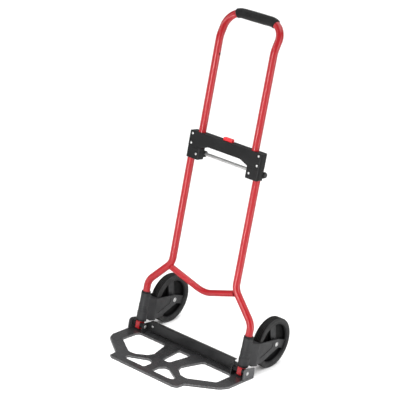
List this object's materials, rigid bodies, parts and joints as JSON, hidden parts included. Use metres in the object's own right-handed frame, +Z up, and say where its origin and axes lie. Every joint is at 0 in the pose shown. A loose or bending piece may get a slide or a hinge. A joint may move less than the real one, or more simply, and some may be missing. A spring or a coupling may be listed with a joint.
{
  "type": "hand truck",
  "caption": "Foldable two-wheel hand truck: bent tube frame, telescopic loop handle with latch crosspiece, flat folding toe plate and wheels that swing inward.",
  "frame": {"origin": "middle of the footprint on the floor: bounding box centre in x and y, z = 0 at the toe plate's underside and the tyres' lowest points", "axes": "+X to the truck's right, -Y to the front where the toe plate points, +Y to the back where the wheels are, +Z up"},
  "size_m": [0.4504, 0.418, 1.0223],
  "materials": {
    "red_paint": "gloss powder coat",
    "black_plastic": "fine moulded grain",
    "button_red": "gloss",
    "foam": "closed cell foam",
    "tyre": "matt rubber",
    "plate": "dark grey powder coat",
    "black_metal": "black powder coat",
    "zinc": "bright zinc",
    "bush": "natural nylon"
  },
  "bodies": {
    "frame": {"left_frame_tube": "red_paint", "left_foot_block": "red_paint", "left_thrust_washer": "black_plastic", "left_stop_collar": "black_plastic", "left_crosspiece_rivet_lower": "zinc", "left_crosspiece_rivet_upper": "zinc", "right_frame_tube": "red_paint", "right_foot_block": "red_paint", "right_thrust_washer": "black_plastic", "right_stop_collar": "black_plastic", "right_crosspiece_rivet_lower": "zinc", "right_crosspiece_rivet_upper": "zinc", "cross_tube": "red_paint", "crosspiece_front": "black_plastic", "crosspiece_back": "black_plastic"},
    "release_button": {"release_button": "button_red", "button_spring": "zinc"},
    "handle": {"handle_tube": "red_paint", "handle_grip": "foam", "tie_rod": "zinc", "left_slider": "black_plastic", "left_slider_rivet": "zinc", "left_rod_cap": "black_metal", "right_slider": "black_plastic", "right_slider_rivet": "zinc", "right_rod_cap": "black_metal"},
    "toe_plate": {"toe_plate": "plate", "lower_beam": "black_metal", "left_inner_ear": "black_metal", "left_outer_ear": "black_metal", "left_inner_hinge_spacer": "black_plastic", "left_outer_hinge_spacer": "black_plastic", "left_hinge_pin": "zinc", "left_beam_rivet": "zinc", "right_inner_ear": "black_metal", "right_outer_ear": "black_metal", "right_inner_hinge_spacer": "black_plastic", "right_outer_hinge_spacer": "black_plastic", "right_hinge_pin": "zinc", "right_beam_rivet": "black_metal"},
    "left_latch_pin": {"left_latch_pin": "zinc"},
    "left_fork": {"left_fork": "black_plastic", "left_axle": "zinc"},
    "left_wheel": {"left_rim": "black_plastic", "left_tyre": "tyre", "left_hub_bush": "bush"},
    "right_latch_pin": {"right_latch_pin": "zinc"},
    "right_fork": {"right_fork": "black_plastic", "right_axle": "zinc"},
    "right_wheel": {"right_rim": "black_plastic", "right_tyre": "tyre", "right_hub_bush": "bush"}
  },
  "joints": [
    {"name": "handle_slide", "type": "slide", "parent": "frame", "child": "handle", "axis": [0, 0.0958, 0.9954], "range_m": [-0.259, 0]},
    {"name": "button_press", "type": "slide", "parent": "frame", "child": "release_button", "axis": [0, -0.0958, -0.9954], "range_m": [0, 0.005], "stiffness_N_per_m": 400, "springref_m": -0.002, "deforming": ["button_spring"]},
    {"name": "left_latch_slide", "type": "slide", "parent": "frame", "child": "left_latch_pin", "axis": [1, 0, 0], "range_m": [0, 0.004]},
    {"name": "right_latch_slide", "type": "slide", "parent": "frame", "child": "right_latch_pin", "axis": [-1, 0, 0], "range_m": [0, 0.004]},
    {"name": "toe_fold", "type": "hinge", "parent": "frame", "child": "toe_plate", "pos_m": [0, -0.001, 0.0225], "axis": [-1, 0, 0], "range_deg": [0, 95.5]},
    {"name": "left_wheel_swing", "type": "hinge", "parent": "frame", "child": "left_fork", "pos_m": [-0.197, 0.01267, 0.07963], "axis": [0, -0.0958, -0.9954], "range_deg": [0, 90]},
    {"name": "right_wheel_swing", "type": "hinge", "parent": "frame", "child": "right_fork", "pos_m": [0.197, 0.01267, 0.07963], "axis": [0, 0.0958, 0.9954], "range_deg": [0, 90]},
    {"name": "left_wheel_spin", "type": "hinge", "parent": "left_fork", "child": "left_wheel", "pos_m": [-0.197, 0.132, 0.077], "axis": [1, 0, 0], "continuous": true},
    {"name": "right_wheel_spin", "type": "hinge", "parent": "right_fork", "child": "right_wheel", "pos_m": [0.197, 0.132, 0.077], "axis": [1, 0, 0], "continuous": true}
  ],
  "couplings": [
    {"joint": "left_latch_slide", "follows": "button_press", "ratio": 0.8},
    {"joint": "right_latch_slide", "follows": "button_press", "ratio": 0.8},
    {"joint": "left_wheel_swing", "follows": "toe_fold", "ratio": 0.94241},
    {"joint": "right_wheel_swing", "follows": "toe_fold", "ratio": 0.94241}
  ]
}
